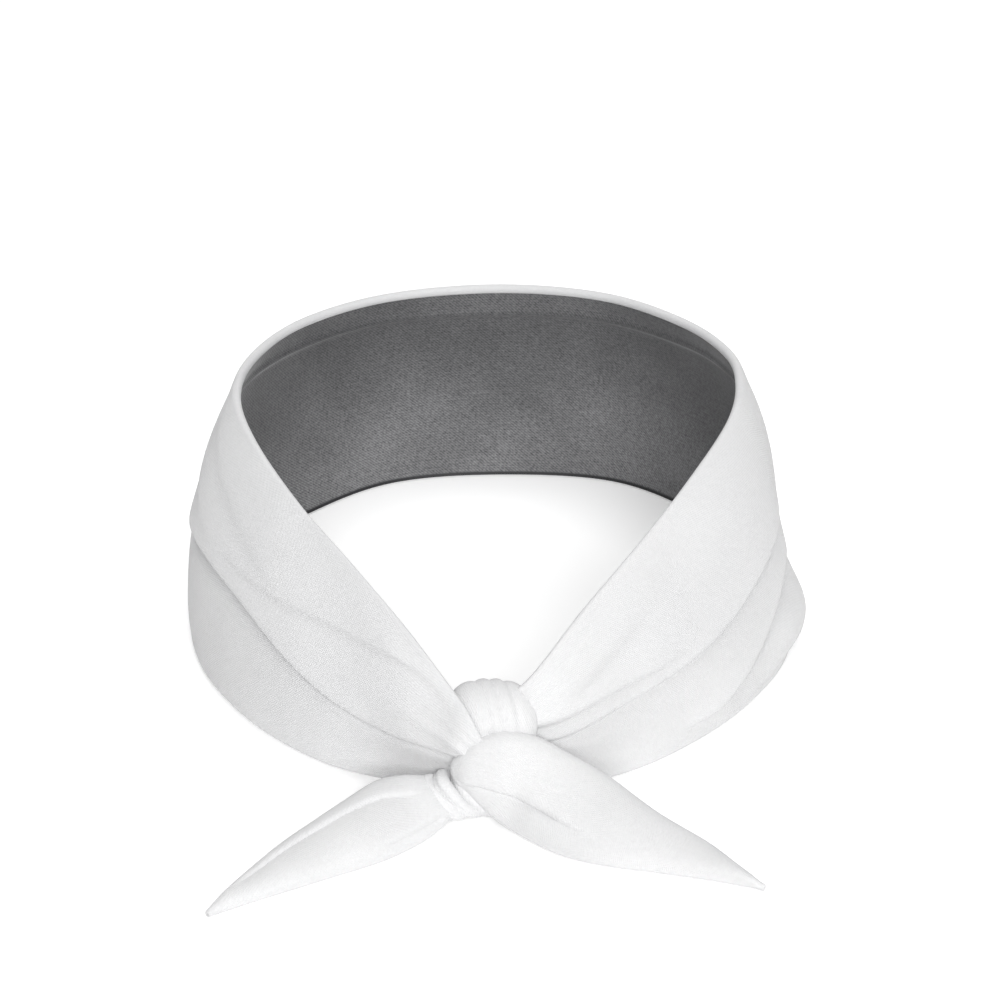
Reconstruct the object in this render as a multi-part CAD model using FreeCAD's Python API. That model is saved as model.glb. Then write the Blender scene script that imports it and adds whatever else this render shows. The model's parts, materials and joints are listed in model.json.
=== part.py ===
"""Tie-back sports headband: a lined knit strip, knotted into a loop, with two free tails.

Millimetres. +Z up, the lower edge stands on Z = 0, the origin is the centre of the head opening,
the forehead panel lies towards +Y and the knot towards -Y.
"""
import FreeCAD, Part
import math
import os

Vector = FreeCAD.Vector

# Driving dimensions of the loop
HALF_WIDTH = 83.0          # centre to the lower edge at each side
FOREHEAD_REACH = 91.0      # centre to the lower edge at the forehead
KNOT_REACH = 97.0          # centre to where the side panels enter the knot
BAND_HEIGHT = 64.0         # cut width of the strip, standing upright
SIDE_BULGE = 4.5           # how far the side panels belly out between their edges
FOREHEAD_BULGE = 2.0       # the same at the forehead

# Cloth
OUTER_THICK = 1.2          # white face knit
LINING_THICK = 1.0         # charcoal lining knit
LAYER_GAP = 0.15           # air between two pieces that lie on each other
HEM_WIDTH = 3.4            # turned seam allowance along both edges
HEM_THICK = 3.0            # its thickness through the wall
SOLE_TRIM = 0.8            # soft lower edge that the table presses flat

# Knot
KNOT_LEFT = -10.5          # X of the knot's left side
KNOT_RIGHT = 8.5           # X of its right side
KNOT_DEPTH = 21.0          # front to back
KNOT_TOP = 31.0            # height above the table
TURN_THICK = 3.6           # gathered strand that makes the outer turns
TURN_SPLIT = 13.0          # height where the upper turn meets the lower turn
KNOT_END_SHARE = 0.86      # the knot is slimmer at its two sides by this share
STRAND_SLANT = 28.0        # degrees, slope of the two strands that cross inside
STRAND_END_LOW = 11.0      # lower edge of a side panel where it enters the knot
STRAND_TUCK = 2.0          # the side panels are drawn this far past the knot's sides, then trimmed
FRONT_FOLD_WIDTH = 18.0    # strand folded over the front of the knot
FRONT_FOLD_HEIGHT = 16.0
FRONT_FOLD_THICK = 5.0

# Tails
NECK_RADIUS = 5.4          # gathered ball where a tail leaves the knot
JOINT_GAP = 0.4            # clearance of a neck and of a tail to what they move against
WRAP_RADIUS = 4.9          # ring of gathered cloth behind each neck, to the middle of its cord
WRAP_THICK = 4.2
ROOT_SWEEP = 10.6          # space that the root of a tail sweeps round its neck
TAIL_WIDTH = 20.0          # folded width at the widest place
TAIL_THICK = 8.4           # folded thickness at the thickest place
TAIL_TILT = 22.0           # degrees, the edge nearer the band lies higher
TAIL_WALL = 1.3            # white knit that wraps the tail
TACK_LENGTH = 2.4          # bar tack that closes the tip

KNOT_Y = -KNOT_REACH + 3.0
KNOT_Z = 0.5 * KNOT_TOP
KNOT_FRONT = KNOT_Y - 0.5 * KNOT_DEPTH

# Centre of each neck, set off from the knot's side and front, and how far the tip reaches from it
TAILS = {
    "left": {"neck": (KNOT_LEFT - 5.5, KNOT_FRONT - 1.7, 7.0), "reach": (-48.5, -39.3)},
    "right": {"neck": (KNOT_RIGHT - 2.5, KNOT_FRONT - 6.5, 8.0), "reach": (52.5, -24.5)},
}

# Closing stitches of the turning gap
STITCH_COUNT = 9
STITCH_LENGTH = 2.6
STITCH_WIDTH = 0.5
STITCH_START = 2.2         # station on the left side panel where the row starts
STITCH_PITCH = 0.11        # stations from one stitch to the next

WALL = OUTER_THICK + LAYER_GAP + LINING_THICK

# Half outlines from the knot to the forehead, as shares of the half width and of the reach.
LOWER_OUTLINE = [(0.29, -0.92), (0.51, -0.80), (0.75, -0.60), (0.94, -0.31), (1.0, 0.0),
                 (0.915, 0.37), (0.70, 0.70), (0.41, 0.945), (0.0, 1.0)]
UPPER_OUTLINE = [(0.265, -0.856), (0.43, -0.64), (0.59, -0.42), (0.75, -0.185), (0.83, 0.066),
                 (0.80, 0.36), (0.64, 0.65), (0.373, 0.88), (0.0, 0.956)]
UPPER_HEIGHTS = [0.60, 0.72, 0.83, 0.94, 1.0, 1.0, 1.0, 1.0, 1.0]
LAST = 2 * len(LOWER_OUTLINE)      # stations run from 0, left knot side, to LAST, right knot side


def outline_y(share):
    return share * (FOREHEAD_REACH if share > 0 else KNOT_REACH)


def edge_curve(outline, heights, end_height):
    """Curve of one edge round the whole loop, one parameter step per station."""
    half = [(x * HALF_WIDTH, outline_y(y), z) for (x, y), z in zip(outline, heights)]
    left = [(KNOT_LEFT + STRAND_TUCK, -KNOT_REACH, end_height)] + [(-x, y, z) for x, y, z in half]
    right = half[-2::-1] + [(KNOT_RIGHT - STRAND_TUCK, -KNOT_REACH, end_height)]
    points = [Vector(*p) for p in left + right]
    curve = Part.BSplineCurve()
    curve.interpolate(Points=points, Parameters=[float(i) for i in range(len(points))])
    return curve


LOWER_EDGE = edge_curve(LOWER_OUTLINE, [-SOLE_TRIM] * len(LOWER_OUTLINE), STRAND_END_LOW)
UPPER_EDGE = edge_curve(UPPER_OUTLINE, [BAND_HEIGHT * h for h in UPPER_HEIGHTS], KNOT_TOP)


def bulge_at(s):
    """Belly of the wall: small at the forehead and at the knot, largest on the side panels."""
    from_knot = min(s, LAST - s)
    side = math.sin(math.pi * min(from_knot, 8.0) / 8.0)
    return FOREHEAD_BULGE + (SIDE_BULGE - FOREHEAD_BULGE) * side


def face_point(s, t):
    """Point on the outer face at station s, and t from the lower edge (0) to the upper (1)."""
    low = LOWER_EDGE.value(s)
    high = UPPER_EDGE.value(s)
    along = LOWER_EDGE.tangent(s)[0] + UPPER_EDGE.tangent(s)[0]
    outward = Vector(0, 0, 1).cross(along)
    outward.normalize()
    return low + (high - low) * t + outward * (bulge_at(s) * 4 * t * (1 - t))


def wall_point(s, t, depth):
    """The same point moved into the wall by depth, square to the face."""
    step = 0.01
    s_low, s_high = max(s - step, 0.0), min(s + step, float(LAST))
    along = face_point(s_high, t) - face_point(s_low, t)
    across = face_point(s, t + step) - face_point(s, t - step)
    inward = along.cross(across)
    inward.normalize()
    return face_point(s, t) + inward * depth


def hem_share(s):
    """Share of the wall's height that a hem takes at station s."""
    return HEM_WIDTH / (UPPER_EDGE.value(s) - LOWER_EDGE.value(s)).Length


def surface_through(grid):
    surface = Part.BSplineSurface()
    surface.interpolate(grid)
    return surface


def border_edges(surface):
    u_low, u_high, v_low, v_high = surface.bounds()
    isos = [surface.uIso(u_low), surface.uIso(u_high), surface.vIso(v_low), surface.vIso(v_high)]
    return [iso.toShape() for iso in isos]


def solid_between(front_grid, back_grid):
    """Closed solid between two facing grids of points."""
    front, back = surface_through(front_grid), surface_through(back_grid)
    faces = [front.toShape(), back.toShape()]
    for edge, opposite in zip(border_edges(front), border_edges(back)):
        faces.append(Part.makeRuledSurface(edge, opposite))
    shell = Part.makeShell(faces)
    shell.sewShape()
    solid = Part.makeSolid(shell)
    if solid.Volume < 0:
        solid.reverse()
    return solid


def wall_layer(low_share, high_share, depth_out, depth_in, rows):
    """Layer of the wall round the whole loop, between two heights and two depths."""
    stations = [LAST * i / 48.0 for i in range(49)]

    def grid(depth):
        lines = []
        for s in stations:
            low, high = low_share(s), high_share(s)
            shares = [low + (high - low) * j / (rows - 1.0) for j in range(rows)]
            lines.append([wall_point(s, t, depth) for t in shares])
        return lines

    return clear_of_knot(solid_between(grid(depth_out), grid(depth_in)))


def clear_of_knot(shape):
    """Trim a layer at the knot's two sides."""
    slot = Part.makeBox(KNOT_RIGHT - KNOT_LEFT + 2 * LAYER_GAP, KNOT_REACH, 2 * BAND_HEIGHT,
                        Vector(KNOT_LEFT - LAYER_GAP, -1.5 * KNOT_REACH, -0.5 * BAND_HEIGHT))
    return shape.cut(slot)


def above_table(shape):
    """Trim what the table presses flat."""
    span = 2 * (HALF_WIDTH + FOREHEAD_REACH + KNOT_REACH)
    under = Part.makeBox(2 * span, 2 * span, span, Vector(-span, -span, -span))
    return shape.cut(under)


def band_layer(depth_out, depth_in):
    """Cloth layer between the two hems."""
    gap = LAYER_GAP / HEM_WIDTH
    return wall_layer(lambda s: hem_share(s) * (1 + gap), lambda s: 1 - hem_share(s) * (1 + gap),
                      depth_out, depth_in, 5)


def band_outer():
    return band_layer(0.0, OUTER_THICK)


def band_lining():
    return band_layer(OUTER_THICK + LAYER_GAP, WALL)


def upper_edge_hem():
    return wall_layer(lambda s: 1 - hem_share(s), lambda s: 1.0, 0.0, HEM_THICK, 3)


def lower_edge_hem():
    return above_table(wall_layer(lambda s: 0.0, hem_share, 0.0, HEM_THICK, 3))


def closing_stitches():
    """Row of short bars on the lining side, just above the lower hem of the left side panel."""
    bars = []
    for i in range(STITCH_COUNT):
        s = STITCH_START + i * STITCH_PITCH
        t = 1.8 * hem_share(s)
        centre = wall_point(s, t, WALL + LAYER_GAP + 0.5 * STITCH_WIDTH)
        along = LOWER_EDGE.tangent(s)[0]
        bars.append(round_bar(centre - along * (0.5 * STITCH_LENGTH),
                              centre + along * (0.5 * STITCH_LENGTH), 0.5 * STITCH_WIDTH))
    return Part.makeCompound(bars)


def round_bar(start, end, radius):
    return Part.makeCylinder(radius, (end - start).Length, start, end - start)


def knot_barrel(grow, x_low=KNOT_LEFT, x_high=KNOT_RIGHT):
    """Rounded barrel along X round the knot's axis, larger than the knot by grow."""
    middle = 0.5 * (x_low + x_high)
    half_length = 0.5 * (x_high - x_low)
    rings = []
    for place in (-1.0, -0.6, 0.0, 0.6, 1.0):
        share = 1 - (1 - KNOT_END_SHARE) * place * place
        centre = Vector(middle + place * half_length, KNOT_Y, KNOT_Z)
        half_depth = 0.5 * KNOT_DEPTH * share + grow
        half_height = 0.5 * KNOT_TOP * share + grow
        ring = Part.Ellipse(centre + Vector(0, 0, half_height), centre + Vector(0, half_depth, 0), centre)
        rings.append(Part.Wire([ring.toShape()]))
    return Part.makeLoft(rings, True, False)


def knot_turn(z_low, z_high):
    """Outer turn of the knot: the part of a ring round the core between two heights."""
    ring = knot_barrel(0.0).cut(knot_barrel(-TURN_THICK, KNOT_LEFT - 0.01, KNOT_RIGHT + 0.01))
    slab = Part.makeBox(4 * KNOT_DEPTH, 4 * KNOT_DEPTH, z_high - z_low,
                        Vector(-2 * KNOT_DEPTH, KNOT_Y - 2 * KNOT_DEPTH, z_low))
    return ring.common(slab)


def knot_upper_turn():
    return knot_turn(TURN_SPLIT + 0.5 * LAYER_GAP, 2 * KNOT_TOP)


def knot_lower_turn():
    return knot_turn(-KNOT_TOP, TURN_SPLIT - 0.5 * LAYER_GAP)


def knot_core():
    return knot_barrel(-TURN_THICK - LAYER_GAP)


def core_divider():
    """Slanted block that tells apart the two strands that cross inside the knot."""
    block = Part.makeBox(8 * KNOT_DEPTH, 8 * KNOT_DEPTH, 4 * KNOT_TOP,
                         Vector(-4 * KNOT_DEPTH, -4 * KNOT_DEPTH, 0))
    block.rotate(Vector(0, 0, 0), Vector(0, 1, 0), STRAND_SLANT)
    block.translate(Vector(0.5 * (KNOT_LEFT + KNOT_RIGHT), KNOT_Y, KNOT_Z))
    return block


def knot_left_strand():
    return knot_core().common(core_divider())


def knot_right_strand():
    divider = core_divider()
    divider.translate(Vector(0, 0, -LAYER_GAP))
    return knot_core().cut(divider)


def knot_front_turn():
    """Strand folded over the front of the knot, where the right tail starts."""
    front = KNOT_FRONT - LAYER_GAP
    shape = Part.makeSphere(1.0)
    stretch = FreeCAD.Matrix()
    stretch.scale(0.5 * FRONT_FOLD_WIDTH, FRONT_FOLD_THICK, 0.5 * FRONT_FOLD_HEIGHT)
    shape = shape.transformGeometry(stretch)
    shape.translate(Vector(0.5 * (KNOT_LEFT + KNOT_RIGHT), front, KNOT_Z))
    behind = Part.makeBox(200, 200, 200, Vector(-100, front, -100))
    shape = shape.cut(behind).cut(ball("right", ROOT_SWEEP + JOINT_GAP))
    return shape.cut(wrap_ring("left", LAYER_GAP))


def pivot(side):
    return Vector(*TAILS[side]["neck"])


def ball(side, radius):
    return Part.makeSphere(radius, pivot(side))


def tail_neck(side):
    return ball(side, NECK_RADIUS)


def wrap_ring(side, grow):
    """Ring just behind a tail's neck, with its cord thicker by grow all round."""
    along = tail_axes(side)[0]
    reach = NECK_RADIUS + JOINT_GAP + 0.5 * WRAP_THICK
    behind = math.sqrt(reach * reach - WRAP_RADIUS * WRAP_RADIUS)
    return Part.makeTorus(WRAP_RADIUS, 0.5 * WRAP_THICK + grow, pivot(side) - along * behind, along)


def tail_wrap(side):
    """Gathered cloth that the tail comes out of."""
    return above_table(wrap_ring(side, 0.0).cut(knot_barrel(LAYER_GAP)))


# Sections of a tail: share of its length, of its width and of its thickness.
TAIL_SECTIONS = [(0.05, 0.60, 0.90), (0.18, 0.90, 1.0), (0.36, 1.0, 0.94), (0.54, 0.84, 0.76),
                 (0.68, 0.62, 0.58), (0.82, 0.38, 0.36), (0.94, 0.15, 0.20)]
HOLLOW_SECTIONS = TAIL_SECTIONS[:5]      # past these the folded tip is solid cloth


def tail_axes(side):
    """Directions along, across and through a tail, and its length from the neck's centre."""
    along = Vector(TAILS[side]["reach"][0], TAILS[side]["reach"][1], 0)
    length = along.Length
    along.normalize()
    level = Vector(0, 0, 1).cross(along)
    if level.y < 0:
        level = level * -1.0
    tilt = math.radians(TAIL_TILT)
    across = level * math.cos(tilt) + Vector(0, 0, math.sin(tilt))
    through = Vector(0, 0, math.cos(tilt)) - level * math.sin(tilt)
    return along, across, through, length


def tail_lens(side, inset, sections):
    """Flattened tapering body of a tail that lies on the table, inset from its surface."""
    along, across, through, length = tail_axes(side)
    rings = []
    for place, width, thick in sections:
        half_width, half_thick = 0.5 * TAIL_WIDTH * width, 0.5 * TAIL_THICK * thick
        centre = pivot(side) + along * (length * place)
        centre.z = math.hypot(half_width * across.z, half_thick * through.z)
        ring = Part.Ellipse(centre + across * (half_width - inset),
                            centre + through * (half_thick - inset), centre)
        rings.append(Part.Wire([ring.toShape()]))
    return Part.makeLoft(rings, True, False)


def tail_outer(side):
    hollow = tail_lens(side, 0.0, TAIL_SECTIONS).cut(tail_lens(side, TAIL_WALL, HOLLOW_SECTIONS))
    return hollow.cut(ball(side, NECK_RADIUS + JOINT_GAP))


def tail_lining(side):
    lens = tail_lens(side, TAIL_WALL + LAYER_GAP, HOLLOW_SECTIONS)
    return lens.cut(ball(side, NECK_RADIUS + JOINT_GAP))


def tail_tip_tack(side):
    """Bar tack: a small bead that closes the tip just past the end of the cloth."""
    along, across, through, length = tail_axes(side)
    last = TAIL_SECTIONS[-1]
    radius = 0.5 * TAIL_THICK * last[2]
    start = pivot(side) + along * (length * last[0] + LAYER_GAP)
    start.z = math.hypot(0.5 * TAIL_WIDTH * last[1] * across.z, radius * through.z)
    return Part.makeCone(0.9 * radius, 0.45 * radius, TACK_LENGTH, start, along)


def build():
    nodes = {
        "band_outer": band_outer(),
        "band_lining": band_lining(),
        "upper_edge_hem": upper_edge_hem(),
        "lower_edge_hem": lower_edge_hem(),
        "closing_stitches": closing_stitches(),
        "knot_upper_turn": knot_upper_turn(),
        "knot_lower_turn": knot_lower_turn(),
        "knot_left_strand": knot_left_strand(),
        "knot_right_strand": knot_right_strand(),
        "knot_front_turn": knot_front_turn(),
    }
    for side in TAILS:
        nodes[side + "_tail_wrap"] = tail_wrap(side)
        nodes[side + "_tail_neck"] = tail_neck(side)
        nodes[side + "_tail_outer"] = tail_outer(side)
        nodes[side + "_tail_lining"] = tail_lining(side)
        nodes[side + "_tail_tip_tack"] = tail_tip_tack(side)
    return nodes


def main():
    os.makedirs("parts", exist_ok=True)
    for name, shape in build().items():
        box = shape.BoundBox
        print("%-20s valid %s solids %d volume %8.1f  x %.1f..%.1f y %.1f..%.1f z %.2f..%.2f" % (
            name, shape.isValid(), len(shape.Solids), shape.Volume,
            box.XMin, box.XMax, box.YMin, box.YMax, box.ZMin, box.ZMax))
        shape.exportStep("parts/" + name + ".step")


main()
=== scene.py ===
import json
import math

import bpy
import numpy as np
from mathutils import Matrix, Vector


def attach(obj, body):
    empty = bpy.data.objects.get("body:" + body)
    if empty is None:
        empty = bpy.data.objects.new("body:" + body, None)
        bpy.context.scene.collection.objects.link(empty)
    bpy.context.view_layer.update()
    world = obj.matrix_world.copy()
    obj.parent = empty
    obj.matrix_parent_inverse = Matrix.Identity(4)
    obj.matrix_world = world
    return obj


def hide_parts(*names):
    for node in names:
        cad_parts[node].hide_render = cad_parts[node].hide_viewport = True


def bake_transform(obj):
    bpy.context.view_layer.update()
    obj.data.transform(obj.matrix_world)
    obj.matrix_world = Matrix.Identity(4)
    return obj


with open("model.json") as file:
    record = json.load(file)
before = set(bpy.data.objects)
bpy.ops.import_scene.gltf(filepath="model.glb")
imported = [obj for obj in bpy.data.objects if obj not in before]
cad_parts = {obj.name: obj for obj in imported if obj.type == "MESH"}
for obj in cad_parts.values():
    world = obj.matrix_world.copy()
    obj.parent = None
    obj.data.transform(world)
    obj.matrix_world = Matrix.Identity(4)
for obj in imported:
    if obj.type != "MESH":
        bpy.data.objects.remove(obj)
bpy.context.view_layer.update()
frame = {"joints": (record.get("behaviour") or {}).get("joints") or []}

MM = 0.001
JOINTS = {joint["name"]: joint for joint in frame["joints"]}


# ---------------------------------------------------------------- curves and meshes

def spline(points, at):
    """Smooth curve through points, read at places counted in points."""
    p = np.asarray(points, float)
    last = len(p) - 2
    p = np.vstack([2 * p[0] - p[1], p, 2 * p[-1] - p[-2]])
    at = np.asarray(at, float)
    i = np.clip(np.floor(at).astype(int), 0, last)
    f = (at - i)[:, None]
    a, b, c, d = p[i], p[i + 1], p[i + 2], p[i + 3]
    square = 2 * a - 5 * b + 4 * c - d
    cube = 3 * b - a - 3 * c + d
    return 0.5 * (2 * b + (c - a) * f + square * f ** 2 + cube * f ** 3)


def values(numbers, at):
    """Smooth curve through plain numbers."""
    return spline(np.asarray(numbers, float)[:, None], at)[:, 0]


def unit(vectors):
    vectors = np.asarray(vectors, float)
    return vectors / np.maximum(np.linalg.norm(vectors, axis=-1, keepdims=True), 1e-9)


def smooth(x):
    x = np.clip(x, 0.0, 1.0)
    return x * x * (3 - 2 * x)


def make_mesh(name, points, faces, uv=None):
    """Mesh object from points in millimetres, with an optional cloth coordinate per point."""
    mesh = bpy.data.meshes.new(name)
    mesh.from_pydata((np.asarray(points) * MM).tolist(), [], faces)
    mesh.polygons.foreach_set("use_smooth", [True] * len(mesh.polygons))
    if uv is not None:
        layer = mesh.uv_layers.new(name="cloth")
        index = np.zeros(len(mesh.loops), np.int32)
        mesh.loops.foreach_get("vertex_index", index)
        layer.data.foreach_set("uv", (np.asarray(uv)[index] * MM).astype(np.float32).ravel())
    mesh.update()
    piece = bpy.data.objects.new(name, mesh)
    bpy.context.scene.collection.objects.link(piece)
    return piece


def grid_faces(rows, columns, wrap=False):
    faces = []
    for i in range(rows - 1):
        for j in range(columns if wrap else columns - 1):
            k = (j + 1) % columns
            faces.append((i * columns + j, i * columns + k, (i + 1) * columns + k, (i + 1) * columns + j))
    return faces


def lengths(points, axis):
    """Running length along one axis of a grid of points."""
    step = np.linalg.norm(np.diff(points, axis=axis), axis=-1)
    zero = np.zeros_like(np.take(step, [0], axis=axis))
    return np.concatenate([zero, np.cumsum(step, axis=axis)], axis=axis)


def sheet_mesh(name, grid, across, along, thickness):
    """Open grid of points made into cloth of a thickness, laid inwards from the grid."""
    rows, columns = grid.shape[:2]
    uv = np.stack([along.ravel(), across.ravel()], 1)
    piece = make_mesh(name, grid.reshape(-1, 3), grid_faces(rows, columns), uv)
    thick = piece.modifiers.new("cloth", "SOLIDIFY")
    thick.thickness = thickness * MM
    thick.offset = -1.0
    thick.use_quality_normals = True
    return piece


def tube_mesh(name, rings):
    """Closed mesh through closed rings of points, with both ends capped."""
    count, around = rings.shape[:2]
    points = np.vstack([rings.reshape(-1, 3), rings[0].mean(0), rings[-1].mean(0)])
    faces = grid_faces(count, around, wrap=True)
    for j in range(around):
        k = (j + 1) % around
        faces.append((count * around, k, j))
        faces.append((count * around + 1, (count - 1) * around + j, (count - 1) * around + k))
    turn = np.concatenate([rings, rings[:, :1]], axis=1)
    around_mm = lengths(turn, 1)[:, :-1]
    along_mm = np.repeat(lengths(rings.mean(1)[:, None], 0), around, axis=1)
    uv = np.stack([along_mm.ravel(), around_mm.ravel()], 1)
    uv = np.vstack([uv, uv[:1], uv[-1:]])
    return make_mesh(name, points, faces, uv)


# ---------------------------------------------------------------- the loop's shape

# Lower and upper edge from the knot round the forehead and back to the knot, millimetres.
# Set to repeat the CAD's outline, as are the tails' edges further down: only the places
# and directions where the tails bend are read from the frame.
LOWER_EDGE = [(-2, -106, 12.5), (-10.5, -103.5, 10.5), (-17, -96.5, 5), (-26, -88.5, 0.6), (-42, -80, 0.2),
              (-62, -60, 0.2), (-78, -31, 0.2), (-83, 0, 0.2), (-77, 34, 0.2), (-57, 64, 0.2), (-33, 85, 0.2),
              (0, 91, 0.2), (35, 86, 0.2), (59, 64, 0.2), (76, 34, 0.2), (80.6, 6, 0.2), (75.8, -27, 0.2),
              (61, -55, 0.2), (42, -76, 0.2), (25, -88, 0.6), (13, -95, 4), (4, -96, 8)]
UPPER_EDGE = [(-1.5, -106, 17.6), (-6.6, -104.6, 27), (-11.8, -99.3, 32.3), (-22.6, -86, 41), (-37, -64, 48),
              (-51.4, -42, 54), (-65, -17, 61), (-71.2, 6, 64), (-69, 33, 64), (-57, 59, 64), (-33, 79, 64),
              (0, 86.5, 64), (31, 79.5, 64), (53, 59, 64), (64, 36, 64), (65.5, 14, 64), (61, -8, 62),
              (48.6, -33, 56), (35, -56, 49.5), (20.6, -77, 42), (9.4, -92, 34), (2, -95, 28)]
LAST = len(LOWER_EDGE) - 1.0
# How far the wall bellies out at each of those places, below and above its middle.
LOW_BELLY = [0.5, 1.2, 3.4, 6, 7.5, 7, 5.6, 4.2, 3.2, 2.4, 2, 2, 2, 2, 1, 0, 1, 4.5, 7, 6.5, 4.5, 1]
HIGH_BELLY = [0.5, 1.5, 2.6, 3.6, 4.4, 5, 4.2, 4.2, 3.6, 2.5, 1.5, 1.5, 1.5, 2.6, 4, 4.2, 4.6, 4.6, 4, 3.4,
              2, 1]

RIM = 1.3                   # radius of the rolled upper edge
OUTER_CLOTH = 0.65          # thickness of the white knit
LINING_CLOTH = 0.5
LINING_DEPTH = 1.2          # from the outer face to the back of the lining
BAND_HEIGHT = 64.0
OUTER_ROWS, OUTER_COLUMNS = 460, 92
LINING_ROWS, LINING_COLUMNS = 400, 80
OUTER_MEASURED = 46         # column of the wall that the length along the white knit is measured on
LINING_MEASURED = 45        # the same for the lining

# Folds of the side panels. Each line runs in (place along, share of the height); lip stands out
# above the line and hangs over it, groove sinks below it, both in millimetres.
FOLDS = [
    {"line": [(7.3, 0.49), (6.5, 0.52), (5.8, 0.55), (5.0, 0.55), (4.5, 0.50), (3.9, 0.45), (3.4, 0.42),
              (2.8, 0.42), (2.1, 0.45), (1.3, 0.43)],
     "lip": 1.9, "groove": 1.7, "lip_width": 7.0, "groove_width": 4.0, "overhang": 1.4, "fade": 0.9,
     "at_knot": 0.5},
    {"line": [(5.9, 0.62), (5.3, 0.635), (5.0, 0.655), (4.5, 0.70), (4.0, 0.745), (3.5, 0.80), (2.9, 0.87),
              (2.4, 0.95)],
     "lip": 0.8, "groove": 0.9, "lip_width": 5.0, "groove_width": 3.0, "overhang": 0.5, "fade": 1.4},
    {"line": [(15.2, 0.60), (15.8, 0.565), (16.3, 0.525), (16.7, 0.49), (17.2, 0.46), (17.8, 0.44),
              (18.5, 0.44), (19.2, 0.45), (20.2, 0.45)],
     "lip": 1.7, "groove": 1.3, "lip_width": 6.0, "groove_width": 3.8, "overhang": 0.9, "fade": 0.9,
     "at_knot": 0.6},
    {"line": [(17.6, 0.49), (18.3, 0.52), (18.7, 0.54), (19.2, 0.57), (20.3, 0.61)],
     "lip": 0.9, "groove": 0.8, "lip_width": 3.0, "groove_width": 2.2, "overhang": 0.3, "fade": 0.6},
    {"line": [(15.2, 0.43), (15.7, 0.40), (16.05, 0.36), (16.3, 0.31), (16.55, 0.265), (16.8, 0.23),
              (17.1, 0.19), (17.5, 0.14), (18.0, 0.10)],
     "lip": 2.4, "groove": 1.8, "lip_width": 5.5, "groove_width": 3.5, "overhang": 1.4, "fade": 0.6},
    {"line": [(17.7, 0.80), (18.4, 0.77), (18.9, 0.74), (19.4, 0.70), (20.2, 0.66)],
     "lip": 0.75, "groove": 0.8, "lip_width": 6.0, "groove_width": 5.0, "overhang": 0.0, "fade": 1.0},
    {"line": [(7.9, 0.84), (7.2, 0.73), (6.6, 0.65), (6.0, 0.60), (5.5, 0.58)],
     "lip": 0.5, "groove": 0.6, "lip_width": 6.0, "groove_width": 5.0, "overhang": 0.0, "fade": 0.8},
    {"line": [(7.3, 0.94), (6.4, 0.84), (5.6, 0.76), (4.9, 0.71), (4.3, 0.72)],
     "lip": 0.4, "groove": 0.5, "lip_width": 5.0, "groove_width": 5.0, "overhang": 0.0, "fade": 0.9},
]
HEM_LINE = 3.2              # seam line above the lower edge


def fullness_at(s):
    """The rolled edge and the layers flatten where the side panels are pulled towards the knot."""
    return 0.6 + 0.4 * smooth((s - 4.5) / 3.0) * smooth((LAST - 3.5 - s) / 3.0)


def edges_at(s):
    """Lower edge, and upper edge below its rolled rim, at places s."""
    low, high = spline(LOWER_EDGE, s), spline(UPPER_EDGE, s)
    return low, high - unit(high - low) * RIM * fullness_at(s)[:, None]


def belly(s, t):
    """How far the wall stands out from the straight line between its edges."""
    low, high = values(LOW_BELLY, s)[:, None], values(HIGH_BELLY, s)[:, None]
    flat = 0.5 + 0.4 * smooth((4.5 - np.minimum(s, LAST - s)) / 3.0)[:, None]
    return 2.1 * low * t ** flat * (1 - t) ** 1.3 + 5.5 * high * t * t * (1 - t)


def fold_line(fold):
    """A fold's line, in order of place along the strip."""
    line = np.array(fold["line"])
    return line[np.argsort(line[:, 0])]


def fold_centre(line, s):
    """Height share of a fold's line at places s, with its corners rounded off."""
    shifts = np.linspace(-0.3, 0.3, 7)
    return sum(np.interp(s + shift, line[:, 0], line[:, 1]) for shift in shifts)[:, None] / len(shifts)


def fold_nearness(s, t, height, reach):
    """1 on the overhanging folds, fading to 0 beyond a reach in millimetres."""
    near = np.zeros((len(s), np.shape(t)[-1]))
    for fold in FOLDS:
        if fold["overhang"]:
            line = fold_line(fold)
            along = smooth((s - line[0, 0] + 0.6) / 1.2) * smooth((line[-1, 0] + 0.6 - s) / 1.2)
            near += along[:, None] * np.exp(-(((t - fold_centre(line, s)) * height) / reach) ** 2)
    return near


def crowded(s, count):
    """Shares of the height, drawn together near the folds so that each fold gets finer cloth."""
    low, high = edges_at(s)
    height = np.linalg.norm(high - low, axis=1)[:, None]
    fine = np.linspace(0.0, 1.0, 500)
    total = np.cumsum(1.0 + 2.5 * fold_nearness(s, fine[None], height, 3.0), axis=1)
    total = (total - total[:, :1]) / (total[:, -1:] - total[:, :1])
    even = np.linspace(0.0, 1.0, count)
    return np.array([np.interp(even, row, fine) for row in total])


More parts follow.
